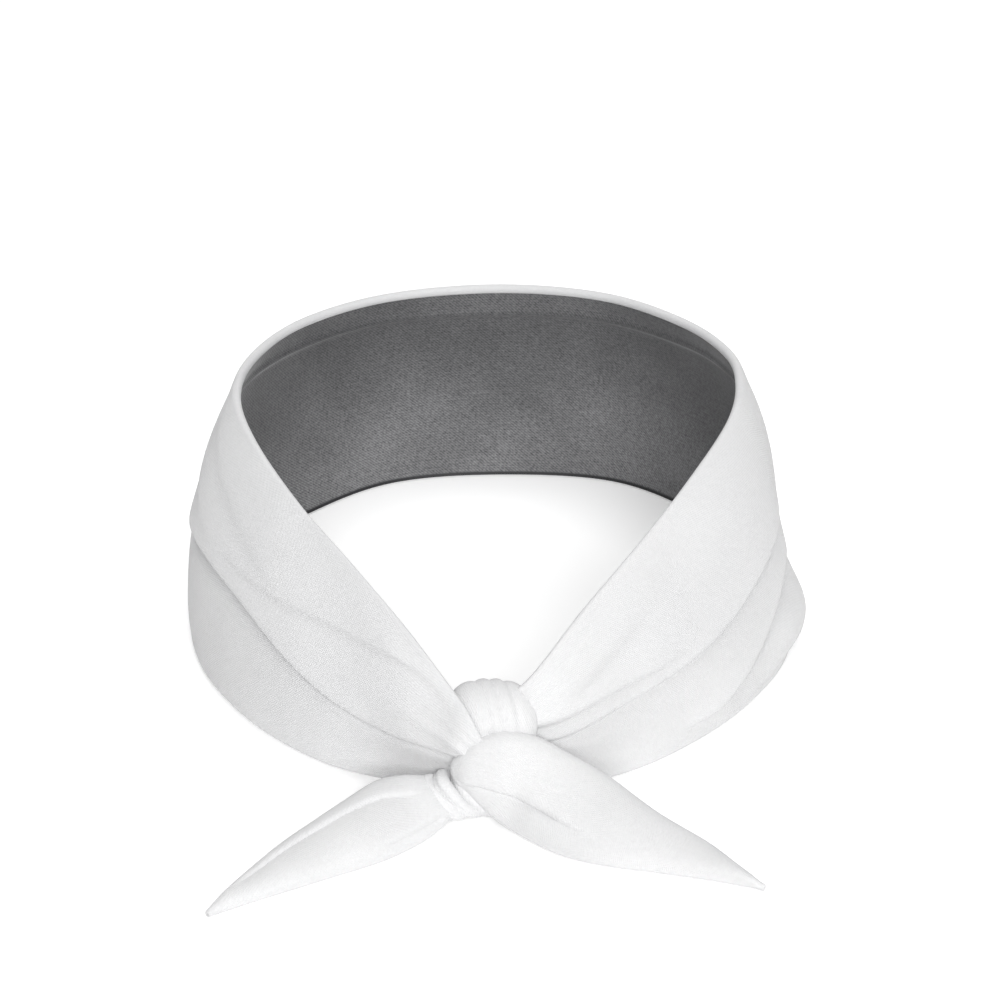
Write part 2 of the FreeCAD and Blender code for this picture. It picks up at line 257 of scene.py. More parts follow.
def fold_shape(s, t, height):
    """Push outwards and slip downwards of every point of the wall, from the folds."""
    push = np.zeros_like(t)
    slip = np.zeros_like(t)
    for fold in FOLDS:
        line = fold_line(fold)
        centre = fold_centre(line, s)
        start, end = line[0, 0], line[-1, 0]
        fade = smooth((s - start) / fold["fade"]) * smooth((end - s) / fold["fade"])
        if start < 2.5 or end > 20.0:
            knot_side = s < 10 if start < 2.5 else s > 10
            inner = smooth((end - s) / fold["fade"]) if start < 2.5 else smooth((s - start) / fold["fade"])
            fade = np.where(knot_side, inner, 0.0)
        d = (t - centre) * height
        step = 0.5 + 0.5 * np.tanh(d / (0.8 if fold["overhang"] else 1.8))
        lip = fold["lip"] * np.exp(-np.maximum(d, 0) / fold["lip_width"])
        groove = fold["groove"] * np.exp(-np.maximum(-d, 0) / fold["groove_width"])
        calm = np.interp(np.minimum(s, LAST - s), (1.5, 4.5), (fold.get("at_knot", 1.0), 1.0))
        fade = fade * calm
        push += fade[:, None] * (lip * step - groove * (1 - step))
        slip += fade[:, None] * fold["overhang"] * step * np.exp(-np.maximum(d, 0) / 2.0)
    return push, slip


def gathers(s, t):
    """Fine pleats that fan out from the knot, deeper where the strip narrows."""
    reach = np.minimum(s, LAST - s)[:, None]
    depth = 0.55 * np.exp(-reach / 1.3)
    phase = 0.7 * np.sin(2.1 * s)[:, None]
    return depth * (np.sin(23 * t + phase) + 0.6 * np.sin(41 * t + 1.3 + 1.7 * phase))


def side_roll(s, t):
    """Lowest fold of the right side, which rolls out past the wall above it."""
    return 5.2 * np.exp(-((s[:, None] - 15.75) / 0.8) ** 2) * np.exp(-((t - 0.13) / 0.11) ** 2)


def drape(s, t):
    """Slow unevenness of the hand-laid cloth."""
    along = s[:, None]
    return 0.35 * np.sin(1.9 * along + 3.1 * t) + 0.22 * np.sin(3.7 * along - 5.3 * t + 1.0)


def wall_grid(s, t, crispness=1.0):
    """Outer face of the wall for places s and shares t, with its outward normals."""
    low, high = edges_at(s)
    height = np.linalg.norm(high - low, axis=1)[:, None]
    step = 0.02
    ahead, back = edges_at(np.minimum(s + step, LAST)), edges_at(np.maximum(s - step, 0))
    along = sum(ahead) - sum(back)
    outward = unit(np.stack([-along[:, 1], along[:, 0], 0 * s], 1))
    share = np.broadcast_to(t, (len(s), np.shape(t)[-1]))
    base = low[:, None] + (high - low)[:, None] * share[..., None]
    base = base + outward[:, None] * belly(s, share)[..., None]
    push, slip = fold_shape(s, share, height)
    inside = smooth(share * height / 6.0) * smooth((1 - share) * height / 5.0)
    push = push + gathers(s, share)
    push = np.where(push < 0, push, crispness * push) * inside
    push = push + (drape(s, share) + side_roll(s, share)) * inside
    hem = np.exp(-((share * height - HEM_LINE) / 0.6) ** 2)
    push = push - 0.28 * hem
    down = unit(low - high)[:, None]
    base = base + down * (crispness * slip * inside)[..., None]
    across = np.gradient(base, axis=1)
    forward = np.gradient(base, axis=0)
    normal = unit(np.cross(across, forward))
    flip = np.sign((normal * outward[:, None]).sum(-1, keepdims=True))
    normal = normal * np.where(flip == 0, 1, flip)
    return base + normal * push[..., None], normal, height


def side_frame(points, normal):
    """At an edge of the wall: the direction away from the wall, and the way into the loop."""
    return unit(points[:, -1] - points[:, -3]), -normal[:, -3]


def white_shell():
    """White knit: the outer face, rolled over the upper edge and just under the lower one."""
    s = np.linspace(0.0, LAST, OUTER_ROWS)
    face, normal, _ = wall_grid(s, crowded(s, OUTER_COLUMNS))
    top, inward = side_frame(face, normal)
    columns = [face[:, :-1]]
    rim = RIM * fullness_at(s)[:, None]
    for angle in np.linspace(0.0, math.pi, 9):
        offset = inward * (rim * (1 - math.cos(angle))) + top * (rim * math.sin(angle))
        columns.append((face[:, -1] + offset)[:, None])
    rim_end = face[:, -1] + inward * (2 * rim)
    for drop, depth in ((0.35, -0.05), (0.8, -0.3), (1.1, -0.7)):
        columns.append((rim_end - top * drop + inward * depth)[:, None])
    down = unit(face[:, 0] - face[:, 2])
    under = -normal[:, 2]
    for angle in np.linspace(0.4, 1.5, 4):
        offset = under * (1 - math.cos(angle)) + down * 0.15 * math.sin(angle)
        columns.insert(0, (face[:, 0] + offset)[:, None])
    grid = np.concatenate(columns, axis=1)
    grid[..., 2] = np.maximum(grid[..., 2], 0.12)
    measured = face[:, OUTER_MEASURED:OUTER_MEASURED + 1]
    along = np.repeat(lengths(measured, 0), grid.shape[1], axis=1)
    return sheet_mesh("outer_knit", grid, lengths(grid, 1), along, OUTER_CLOTH)


def lining_shell():
    """Charcoal lining: inner face, with the ridge of the seam allowance under the upper rim."""
    s = np.linspace(1.0, LAST - 0.3, LINING_ROWS)
    short = 0.03 * smooth((4.5 - np.minimum(s, LAST - s)) / 3.0)[:, None]
    t = short + (1 - short) * np.linspace(0.0, 1.0, LINING_COLUMNS)
    face, normal, height = wall_grid(s, t, 0.5)
    across = t * height
    from_top = (1 - t) * height
    ridge = 1.0 * np.exp(-((from_top - 8.0) / 1.0) ** 2) + 0.30 * smooth((8.0 - from_top) / 2.0)
    low_ridge = 0.3 * smooth((6.0 - across) / 1.5)
    full = fullness_at(s)[:, None]
    depth = (LINING_DEPTH + LINING_CLOTH + ridge + low_ridge) * full
    depth = depth + 0.9 * np.minimum(fold_nearness(s, t, height, 4.0), 1.0)
    inward = -unit(normal * np.array([1, 1, 0.4]))
    grid = face + inward * depth[..., None]
    grid = grid[:, ::-1]
    down = unit(grid[:, -1] - grid[:, -3])
    outwards = -inward[:, 2]
    columns = [grid]
    for angle in np.linspace(0.3, 2.2, 6):
        offset = outwards * (0.45 * full * (1 - math.cos(angle))) + down * (0.40 * math.sin(angle))
        columns.append((grid[:, -1] + offset)[:, None])
    grid = np.concatenate(columns, axis=1)
    grid[..., 2] = np.maximum(grid[..., 2], 0.10)
    measured = face[:, LINING_MEASURED:LINING_MEASURED + 1]
    along = np.repeat(lengths(measured, 0), grid.shape[1], axis=1)
    fall = lengths(grid, 1)
    return sheet_mesh("lining_knit", grid, fall - fall[:, -1:], along, LINING_CLOTH)


# ---------------------------------------------------------------- strands and leaves

def strand(name, path, half_width, half_thick, wide_way, pleats=4, pleat_depth=0.5, rings=70, around=72,
           phase=0.0, fullness=0.9, lean=0.0):
    """Gathered strip of cloth along a path: a flattened section with pleats that run along it."""
    at = np.linspace(0, len(path) - 1, rings)
    centre = spline(path, at)
    tangent = unit(np.gradient(centre, axis=0))
    wide = spline(wide_way, np.linspace(0, len(wide_way) - 1, rings))
    wide = unit(wide - tangent * (wide * tangent).sum(1, keepdims=True))
    through = np.cross(tangent, wide)
    a = values(half_width, np.linspace(0, len(half_width) - 1, rings))[:, None]
    b = values(half_thick, np.linspace(0, len(half_thick) - 1, rings))[:, None]
    angle = np.linspace(0, 2 * math.pi, around, endpoint=False)[None]
    across = np.cos(angle)
    share = at[:, None] / at[-1]
    place = across - lean * (share - 0.45) + 0.06 * np.sin(5 * share + phase)
    place = 0.5 * pleats * (place + 0.13 * np.sin(3.1 * place + phase)) + phase
    fold = 1.6 * np.abs(np.sin(math.pi * place)) ** 0.55 - 1.0
    bulk = np.sign(np.sin(angle)) * np.abs(np.sin(angle)) ** fullness
    height = b * bulk * (1 + 0 * across) + pleat_depth * fold * np.sin(angle)
    rings_at = centre[:, None] + wide[:, None] * (a * across)[..., None]
    rings_at = rings_at + through[:, None] * height[..., None]
    rings_at[..., 2] = np.maximum(rings_at[..., 2], 0.1)
    return tube_mesh(name, rings_at)


def leaf_grid(far, near, thick, creases, rows, around=150, slit=(0.22, 0.10), under=0.55, fullness=0.8):
    """Open grid round a folded tail: from the slit on its under side, over the top, back to the slit.

    far and near are its two edges from root to tip. Each crease is a line (place along, place across)
    where the cloth nearer to the near edge drops behind the rest by some depth."""
    at = np.linspace(0, len(far) - 1, rows)
    far_at, near_at = spline(far, at), spline(near, at)
    centre = 0.5 * (far_at + near_at)
    half = 0.5 * np.linalg.norm(far_at - near_at, axis=1, keepdims=True)
    wide = unit(far_at - near_at)
    tangent = unit(np.gradient(centre, axis=0))
    up = np.cross(wide, tangent)
    up = unit(up * np.where(up[:, 2:3] < 0, -1.0, 1.0))
    high = values(thick, at)[:, None]
    gap = np.interp(at, [0, at[-1]], slit)[:, None]
    turn = np.linspace(0, 1, around)[None]
    angle = -0.5 * math.pi + gap + turn * (2 * math.pi - 2 * gap)
    place = np.cos(angle)
    bulk = np.sign(np.sin(angle)) * np.abs(np.sin(angle)) ** fullness
    lift = high * np.where(bulk > 0, bulk, under * bulk)
    top_side = np.maximum(np.sin(angle), 0) ** 0.5
    start_place = place
    for crease in creases:
        line = np.array(crease["line"], float)
        middle = fold_centre(line, at)
        fade_in, fade_out = crease["fade"]
        fade = smooth((at - line[0, 0]) / fade_in) * smooth((line[-1, 0] - at) / fade_out)
        d = (start_place - middle) * half
        side = 0.5 - 0.5 * np.tanh(d / 0.5)
        drop = side * np.exp(-np.maximum(-d, 0) / crease["width"])
        drop = drop - 0.35 * (1 - side) * np.exp(-np.maximum(d, 0) / 2.5)
        lift = lift - fade[:, None] * crease["depth"] * drop * top_side
        slip = crease["overhang"] * (1 - side) * np.exp(-np.maximum(d, 0) / 1.5)
        place = place - fade[:, None] * slip * top_side / half
    grid = centre[:, None] + wide[:, None] * (half * place)[..., None] + up[:, None] * lift[..., None]
    grid[..., 2] = np.maximum(grid[..., 2], 0.12)
    return grid


def leaf_piece(name, grid):
    return sheet_mesh(name, grid[:, ::-1], lengths(grid, 1)[:, ::-1], lengths(grid, 0), LEAF_CLOTH)


def leaf_lining(name, grid, inset):
    """Lining inside a folded tail, just inside its outer cloth, seen through the slit underneath."""
    middle = grid.mean(1, keepdims=True)
    arm = grid - middle
    reach = np.linalg.norm(arm, axis=-1, keepdims=True)
    rings = middle + arm * np.maximum(1 - inset / np.maximum(reach, 1e-6), 0.25)
    rings[..., 2] = np.maximum(rings[..., 2], 0.5)
    return tube_mesh(name, rings)


def ring_fold(name, centre, half_a, half_b, wide, thick, folds=2.0, phase=0.0):
    """Gathered turn of cloth: a closed band round an oval, with pleats that run along it."""
    half_a, half_b = np.asarray(half_a, float), np.asarray(half_b, float)
    axis = unit(np.cross(half_a, half_b))
    big, small = 130, 40
    a = np.linspace(0, 2 * math.pi, big, endpoint=False)[:, None]
    b = np.linspace(0, 2 * math.pi, small, endpoint=False)[None]
    way = np.cos(a)[..., None] * half_a + np.sin(a)[..., None] * half_b
    swell = 1 + 0.12 * np.sin(2 * a + phase) + 0.07 * np.sin(5 * a - phase)
    ribs = np.abs(np.sin(0.5 * math.pi * (folds * np.cos(b) + 0.5 * np.sin(a + phase) + phase))) ** 0.55
    pleat = 0.6 * (ribs - 0.7) * np.maximum(np.sin(b), 0)
    place = np.cos(b) * wide * (1 + 0.15 * np.sin(2 * a - phase))
    rise = np.sin(b) * thick * swell + pleat
    ring = np.asarray(centre) + way + unit(way) * rise[..., None] + axis * place[..., None]
    ring[..., 2] = np.maximum(ring[..., 2], 0.15)
    faces = []
    for i in range(big):
        for j in range(small):
            k, m = (i + 1) % big, (j + 1) % small
            faces.append((i * small + j, i * small + m, k * small + m, k * small + j))
    around = np.broadcast_to(a * np.linalg.norm(half_a), (big, small))
    across = np.broadcast_to(b / (2 * math.pi) * 4 * wide, (big, small))
    return make_mesh(name, ring.reshape(-1, 3), faces, np.stack([around.ravel(), across.ravel()], 1))


def thread_path(name, points, radius, sides=8):
    """Thread of one thickness along a list of points."""
    path = np.asarray(points, float)
    tangent = unit(np.gradient(path, axis=0))
    across = unit(np.cross(tangent, [0.13, 0.31, 0.94]))
    through = np.cross(tangent, across)
    a = np.linspace(0, 2 * math.pi, sides, endpoint=False)
    turn = np.cos(a)[None, :, None] * across[:, None] + np.sin(a)[None, :, None] * through[:, None]
    rings = path[:, None] + radius * turn
    return tube_mesh(name, rings)


def join(name, pieces):
    """One object out of several."""
    bpy.ops.object.select_all(action="DESELECT")
    for piece in pieces:
        piece.select_set(True)
    bpy.context.view_layer.objects.active = pieces[0]
    bpy.ops.object.join()
    pieces[0].name = name
    return pieces[0]


def finished(piece, sharp=60):
    """Apply the piece's modifiers, keep it off the table and keep only real corners sharp."""
    bpy.context.view_layer.update()
    graph = bpy.context.evaluated_depsgraph_get()
    shown = piece.evaluated_get(graph)
    mesh = bpy.data.meshes.new_from_object(shown, preserve_all_data_layers=True, depsgraph=graph)
    piece.modifiers.clear()
    piece.data = mesh
    for point in mesh.vertices:
        point.co.z = max(point.co.z, FLOOR_GAP * MM)
    mesh.name = piece.name
    mesh.set_sharp_from_angle(angle=math.radians(sharp))
    return piece


# ---------------------------------------------------------------- the knot's and the tails' shapes

LEAF_CLOTH = 0.7
FLOOR_GAP = 0.08            # cloth lies this far above the table


def tail_joint(name):
    """Where a tail bends, in millimetres, and the level direction it points in from there."""
    joint = JOINTS[name]
    x, y, _ = joint["axis"]
    return np.array(joint["pos_m"]) / MM, np.array([-y, x, 0.0])


RIGHT_PIVOT, RIGHT_WAY = tail_joint("right_tail_lift")

RIGHT_FAR = [(-9.8, -104.2, 15.4), (-8.8, -104.4, 18.0), (-4.8, -103.9, 21.0), (0.9, -102.8, 22.4),
             (8.3, -101.8, 20.3), (15.4, -102.6, 16.5), (25, -106.0, 11.9), (36.5, -115.2, 7.4),
             (47.7, -122.6, 4.0), (54.6, -129.4, 2.0), (58.2, -133.2, 1.2), (60.0, -134.6, 0.75)]
RIGHT_NEAR = [(-10.0, -104.6, 14.0), (-9.6, -105.4, 11.2), (-6.4, -106.6, 8.0), (-2.0, -108.0, 4.0),
              (2.8, -110.8, 1.6), (7.6, -115.8, 1.5), (14.5, -121.3, 1.4), (23.5, -125.2, 1.4),
              (36.0, -128.0, 1.3), (48.4, -130.8, 1.1), (56.4, -133.2, 0.8), (60.0, -134.7, 0.65)]
RIGHT_THICK = [0.5, 2.6, 3.8, 4.4, 4.6, 4.6, 4.3, 3.6, 2.8, 2.0, 1.2, 0.12]
RIGHT_CREASES = [
    {"line": [(0.9, -0.55), (2, -0.30), (3, -0.22), (4, -0.20), (5, -0.30), (6, -0.48), (7.0, -0.62)],
     "depth": 1.7, "width": 7.0, "overhang": 1.3, "fade": (0.8, 2.6)},
]
LEFT_FAR = [(-12.6, -101.4, 8.4), (-17.0, -101.9, 9.2), (-22.9, -102.8, 9.8), (-29.3, -104.6, 9.2),
            (-35.6, -110.0, 7.8), (-42.7, -116.6, 6.2), (-50.1, -123.6, 4.4), (-56.5, -131.2, 2.6),
            (-61.4, -138.3, 1.7), (-65.4, -145.0, 0.75)]
LEFT_NEAR = [(-10.6, -105.4, 3.6), (-13.2, -109.4, 2.0), (-18.4, -116.0, 1.5), (-24.8, -121.8, 1.4),
             (-30.6, -125.7, 1.4), (-38.4, -129.9, 1.3), (-47.2, -134.8, 1.2), (-55.4, -139.3, 1.1),
             (-61.4, -142.6, 0.8), (-65.4, -145.1, 0.65)]
LEFT_THICK = [2.0, 2.5, 3.4, 4.0, 4.0, 3.4, 2.8, 2.1, 1.4, 0.12]
LEFT_CREASES = [
    {"line": [(1.6, 0.20), (3, 0.42), (4, 0.55), (5, 0.60), (6, 0.60), (7, 0.55), (8.2, 0.50)],
     "depth": 1.1, "width": 3.0, "overhang": 1.0, "fade": (1.0, 1.6)},
    {"line": [(1.0, -0.62), (2, -0.70), (3, -0.80), (3.8, -0.86)],
     "depth": 0.8, "width": 2.0, "overhang": 0.4, "fade": (0.6, 1.0)},
]
# Lengths along the right tail, past its pivot, in millimetres.
CUT_AT = 10.0                # the front fold ends and the leaf begins

RIGHT_ROWS, LEFT_ROWS = 190, 150
LEFT_LEAF_FROM = 11          # first row of the left leaf that shows past the collars
RIGHT_LINING_FROM = 8        # rows of the leaf past the cut before its inner lining starts
LEFT_LINING_FROM = 28        # row at which the left inner lining starts
LINING_SHORT = 6             # rows at the tip that the inner linings leave free
LINING_INSET = 1.1           # inner lining's depth inside the leaf, millimetres


# ---------------------------------------------------------------- materials

def new_material(name, colour, roughness):
    material = bpy.data.materials.new(name)
    material.use_nodes = True
    nodes, links = material.node_tree.nodes, material.node_tree.links
    shader = nodes["Principled BSDF"]
    shader.inputs["Base Color"].default_value = (*colour, 1)
    shader.inputs["Roughness"].default_value = roughness
    return material, nodes, links, shader


def math_node(nodes, links, operation, first, second=None, third=None):
    """Math node whose inputs are numbers or other nodes' outputs."""
    node = nodes.new("ShaderNodeMath")
    node.operation = operation
    for socket, value in zip(node.inputs, (first, second, third)):
        if value is None:
            continue
        if isinstance(value, (int, float)):
            socket.default_value = value
        else:
            links.new(value, socket)
    return node.outputs[0]


def cloth_coordinates(nodes, links):
    """Distance along the strip and across it, in metres."""
    uv = nodes.new("ShaderNodeUVMap")
    uv.uv_map = "cloth"
    split = nodes.new("ShaderNodeSeparateXYZ")
    links.new(uv.outputs[0], split.inputs[0])
    return split.outputs["X"], split.outputs["Y"]


def noise(nodes, links, scale, detail=3.0, roughness=0.55):
    """Noise with a scale given in features per metre, on the object's own coordinates."""
    place = nodes.new("ShaderNodeTexCoord")
    node = nodes.new("ShaderNodeTexNoise")
    node.inputs["Scale"].default_value = scale
    node.inputs["Detail"].default_value = detail
    node.inputs["Roughness"].default_value = roughness
    links.new(place.outputs["Object"], node.inputs["Vector"])
    return node.outputs["Fac"]


def mixed(nodes, links, amount, first, second):
    """Colour between two colours."""
    ramp = nodes.new("ShaderNodeMix")
    ramp.data_type = "RGBA"
    links.new(amount, ramp.inputs[0])
    ramp.inputs[6].default_value = (*first, 1)
    ramp.inputs[7].default_value = (*second, 1)
    return ramp.outputs[2]


def bump(nodes, links, shader, height, strength, distance):
    node = nodes.new("ShaderNodeBump")
    node.inputs["Strength"].default_value = strength
    node.inputs["Distance"].default_value = distance
    links.new(height, node.inputs["Height"])
    links.new(node.outputs[0], shader.inputs["Normal"])


def between(nodes, links, value, low, high, at_low, at_high):
    """Smooth step from one level to another, as a value passes from low to high."""
    node = nodes.new("ShaderNodeMapRange")
    node.interpolation_type = "SMOOTHSTEP"
    node.inputs["From Min"].default_value = low
    node.inputs["From Max"].default_value = high
    node.inputs["To Min"].default_value = at_low
    node.inputs["To Max"].default_value = at_high
    links.new(value, node.inputs["Value"])
    return node.outputs[0]


def wave(nodes, links, position, period):
    """Sine wave of a period in metres."""
    turns = math_node(nodes, links, "MULTIPLY_ADD", position, 2 * math.pi / period, 0.0)
    return math_node(nodes, links, "SINE", turns)


def white_knit():
    """Fine white jersey: wales across the strip, small stitches, soft mottling."""
    material, nodes, links, shader = new_material("white_knit", (0.66, 0.66, 0.665), 0.92)
    shader.inputs["Sheen Weight"].default_value = 0.18
    shader.inputs["Sheen Roughness"].default_value = 0.5
    shader.inputs["Specular IOR Level"].default_value = 0.25
    along, across = cloth_coordinates(nodes, links)
    wales = wave(nodes, links, along, 0.00078)
    courses = wave(nodes, links, across, 0.00060)
    stitch = math_node(nodes, links, "MULTIPLY", wales, courses)
    stitch = math_node(nodes, links, "MULTIPLY_ADD", stitch, 0.5, 0.5)
    mottle = noise(nodes, links, 900, 4.0, 0.75)
    broad = noise(nodes, links, 38, 2.0)
    broad_part = math_node(nodes, links, "MULTIPLY", broad, 0.45)
    tone = math_node(nodes, links, "MULTIPLY_ADD", mottle, 0.55, broad_part)
    colour = mixed(nodes, links, tone, (0.56, 0.56, 0.567), (0.75, 0.75, 0.753))
    links.new(colour, shader.inputs["Base Color"])
    height = math_node(nodes, links, "ADD", math_node(nodes, links, "MULTIPLY", stitch, 0.6),
                       math_node(nodes, links, "MULTIPLY", mottle, 0.8))
    bump(nodes, links, shader, height, 0.8, 0.0002)
    return material


# The lining's colour runs between these two by the tone below, painted light and shade included; the painted
# shadow line along the lower edge reaches the dark end.
LINING_DARK = (0.02, 0.02, 0.022)
LINING_PALE = (0.225, 0.225, 0.23)


def charcoal_lining():
    """Charcoal knit with a fine diagonal rib and pale flecks, slightly satin, with painted light and shade:
    random sheen patches, a darker top and lighter lower part, a highlight band under the rim and a shadow
    line along the lower edge.
    """
    material, nodes, links, shader = new_material("charcoal_lining", (0.1, 0.1, 0.105), 0.6)
    shader.inputs["Sheen Weight"].default_value = 0.35
    shader.inputs["Sheen Roughness"].default_value = 0.4
    shader.inputs["Specular IOR Level"].default_value = 0.35
    along, across = cloth_coordinates(nodes, links)
    slope = math_node(nodes, links, "MULTIPLY_ADD", across, -1.15, along)
    rib = wave(nodes, links, slope, 0.0011)
    cross = wave(nodes, links, across, 0.00085)
    fleck = math_node(nodes, links, "MULTIPLY_ADD", noise(nodes, links, 1300, 2.0, 0.6), 1.8, -0.4)
    # Painted sheen: broad patches, lighter and darker at random, drawn into the colour in place of the satin
    # sheen of the cloth.
    painted_sheen_patches = math_node(nodes, links, "MULTIPLY_ADD", noise(nodes, links, 26, 3.0), 1.5, -0.25)
    weave = math_node(nodes, links, "MULTIPLY_ADD", rib, 0.13, 0.22)
    weave = math_node(nodes, links, "ADD", weave, math_node(nodes, links, "MULTIPLY", cross, 0.05))
    tone = math_node(nodes, links, "ADD", weave, math_node(nodes, links, "MULTIPLY", fleck, 0.55))
    tone = math_node(nodes, links, "MULTIPLY", tone, math_node(nodes, links, "ADD", painted_sheen_patches, 0.5))
    # Painted shadow: the lowest 1.3 to 2 mm of the lining are drawn down to near black, in place of the shade
    # under the lining's lower edge.
    painted_shadow_edge = between(nodes, links, across, -0.0020, -0.0013, 1.0, 0.0)
    tone = math_node(nodes, links, "MULTIPLY", tone, painted_shadow_edge)
    # Painted light and shade: the lining is drawn darker towards the top and lighter towards the lower edge,
    # in place of the light the floor throws up onto it.
    painted_light_gradient = between(nodes, links, across, -0.055, -0.006, 0.66, 1.30)
    tone = math_node(nodes, links, "MULTIPLY", tone, painted_light_gradient)
    # Painted highlight: the top 8 mm or so of the lining, over the ridge of the seam allowance, is drawn
    # lighter as if the taut cloth there caught the light.
    painted_ridge_highlight = between(nodes, links, across, -0.0575, -0.0560, 1.3, 1.0)
    tone = math_node(nodes, links, "MULTIPLY", tone, painted_ridge_highlight)
    links.new(mixed(nodes, links, tone, LINING_DARK, LINING_PALE), shader.inputs["Base Color"])
    bump(nodes, links, shader, weave, 0.5, 0.00015)
    return material


def sewing_thread():
    """Matt white cotton thread with its twist."""
    material, nodes, links, shader = new_material("sewing_thread", (0.78, 0.78, 0.77), 0.7)
    along, across = cloth_coordinates(nodes, links)
    slope = math_node(nodes, links, "ADD", along, across)
    twist = wave(nodes, links, slope, 0.0006)
    level = math_node(nodes, links, "MULTIPLY_ADD", twist, 0.5, 0.5)
    colour = mixed(nodes, links, level, (0.62, 0.62, 0.61), (0.82, 0.82, 0.81))
    links.new(colour, shader.inputs["Base Color"])
    bump(nodes, links, shader, level, 0.4, 0.00008)
    return material


MATERIALS = {
    "white_knit": white_knit(),
    "charcoal_lining": charcoal_lining(),
    "sewing_thread": sewing_thread(),
}


def dress(piece, slot, body=None, nodes=()):
    """Material and slot of a piece, the body it rides on and the CAD nodes it stands for."""
    piece.data.materials.clear()
    piece.data.materials.append(MATERIALS[slot])
    if body:
        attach(piece, body)
    if nodes:
        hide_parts(*nodes)
    return piece


# ---------------------------------------------------------------- loop

def loop_pieces():
    shell = dress(finished(white_shell()), "white_knit", "band",
                  ["band_outer", "upper_edge_hem", "lower_edge_hem"])
    lining = dress(finished(lining_shell()), "charcoal_lining", "band", ["band_lining"])
    dress(closing_thread(), "sewing_thread", "band", ["closing_stitches"])


def closing_thread():
    """Slanted hand stitches that close the turning gap, on the lining above the lower seam."""
    first, last, count = 7.35, 8.05, 13
    shares = np.array([0.0, 4.6 / BAND_HEIGHT, 6.4 / BAND_HEIGHT, 1.0])
    stitches = []
    for i in range(count):
        s = np.array([first + (last - first) * i / (count - 1),
                      first + (last - first) * (i + 0.55) / (count - 1)])
        face, normal, _ = wall_grid(s, shares)
        start, end = face[0, 1], face[1, 2]
        inward = -unit(normal[0, 1] * np.array([1, 1, 0.4]))
        depth = LINING_DEPTH + LINING_CLOTH + 0.45
        bend = [0.0, 0.32, 0.42, 0.42, 0.32, 0.0]
        points = [start + (end - start) * k / 5 + inward * (depth - 0.2 + bend[k]) for k in range(6)]
        stitches.append(thread_path("stitch_%02d" % i, points, 0.26))
    return join("closing_thread", stitches)


# ---------------------------------------------------------------- knot

KNOT_STRANDS = [
    {"name": "knot_top_wrap", "stands_for": "knot_upper_turn",
     "path": [(-4.0, -97.0, 3.4), (-3.2, -90.5, 3.6), (-2.4, -86.4, 7), (-2.4, -86.2, 15),
              (-2.2, -88.5, 22.4), (-1.8, -92.6, 25.9), (-1.2, -97.4, 24.8), (-0.6, -100.4, 20.8),
              (-0.8, -99.8, 13.5), (-0.8, -98.6, 7)],
     "half_width": [5.0, 6.4, 7.6, 8.6, 9.2, 9.8, 10.0, 9.4, 7, 5.5],
     "half_thick": [2.2, 2.4, 2.7, 3.2, 4.0, 4.5, 4.3, 3.4, 2.4, 2.0],
     "wide_way": [(1, 0, 0.0), (1, 0.05, 0.0), (1, 0.10, -0.10), (1, 0.10, -0.10), (1, 0, -0.05)],
     "pleats": 4.2, "pleat_depth": 0.5, "phase": 0.35, "fullness": 0.95, "lean": 0.9,
     "rings": 110, "around": 110},
    {"name": "knot_left_strand_cloth", "stands_for": "knot_left_strand",
     "path": [(-8.4, -97.5, 20.5), (-6, -99.5, 19.5), (-3, -100.5, 17), (1, -99.5, 13.5),
              (3, -100.5, 10.5), (3.5, -102, 9)],
     "half_width": [5.0, 6.0, 6.0, 5.0, 4.2, 3.0],
     "half_thick": [1.8, 2.6, 3.2, 3.2, 3.0, 2.4],
     "wide_way": [(0.1, 0.2, 1), (0.2, 0.1, 1), (0.3, 0.0, 1), (0.2, 0.2, 1)],
     "pleats": 3.5, "pleat_depth": 0.35, "phase": 0.2, "lean": 0.5},
    {"name": "knot_right_strand_cloth", "stands_for": "knot_right_strand",
     "path": [(5.6, -92, 18.5), (3.5, -90.5, 18), (0, -89.5, 16.5), (-5, -91.5, 13.5),
              (-8.5, -96.5, 9.5), (-10.5, -101, 7)],
     "half_width": [5.0, 6.0, 6.0, 6.0, 5.5, 4.0],
     "half_thick": [1.6, 2.4, 3.0, 3.2, 3.2, 2.6],
     "wide_way": [(0, 0.1, 1), (0.15, 0, 1), (0.3, 0.1, 1), (0.3, 0.2, 1)],
     "pleats": 3.5, "pleat_depth": 0.4, "phase": 0.6, "lean": 0.6},
]
# Gathers that the left tail comes out of: name, centre, the oval's two half axes, half width,
# thickness, phase of the pleats, and the CAD nodes that each stands for.
COLLARS = [
    ("knot_collar_front", (-16.0, -105.2, 5.6), (3.9, -2.0, -2.8), (-1.7, -2.9, 0.9), 1.4, 1.4, 0.2,
     ["left_tail_wrap"]),
    ("knot_collar_middle", (-13.0, -104.4, 6.0), (3.9, -1.6, -3.3), (-1.8, -2.9, 0.9), 1.7, 1.6, 1.1, []),
    ("knot_collar_back", (-9.6, -103.6, 6.3), (3.8, -1.1, -3.8), (-1.8, -3.0, 0.9), 2.1, 1.9, 2.3, []),
    ("knot_bottom_wrap", (-5.6, -102.6, 6.9), (3.6, -0.8, -4.3), (-2.0, -3.2, 1.2), 2.6, 2.1, 0.7,
     ["knot_lower_turn"]),
]


def knot_pieces():
    for shape in KNOT_STRANDS:
        shape = dict(shape)
        node = shape.pop("stands_for")
        dress(finished(strand(**shape)), "white_knit", "band", [node])
    for name, centre, half_a, half_b, wide, thick, phase, nodes in COLLARS:
        piece = ring_fold(name, centre, half_a, half_b, wide, thick, 2.0, phase)
        dress(finished(piece), "white_knit", "band", nodes)


# ---------------------------------------------------------------- tails


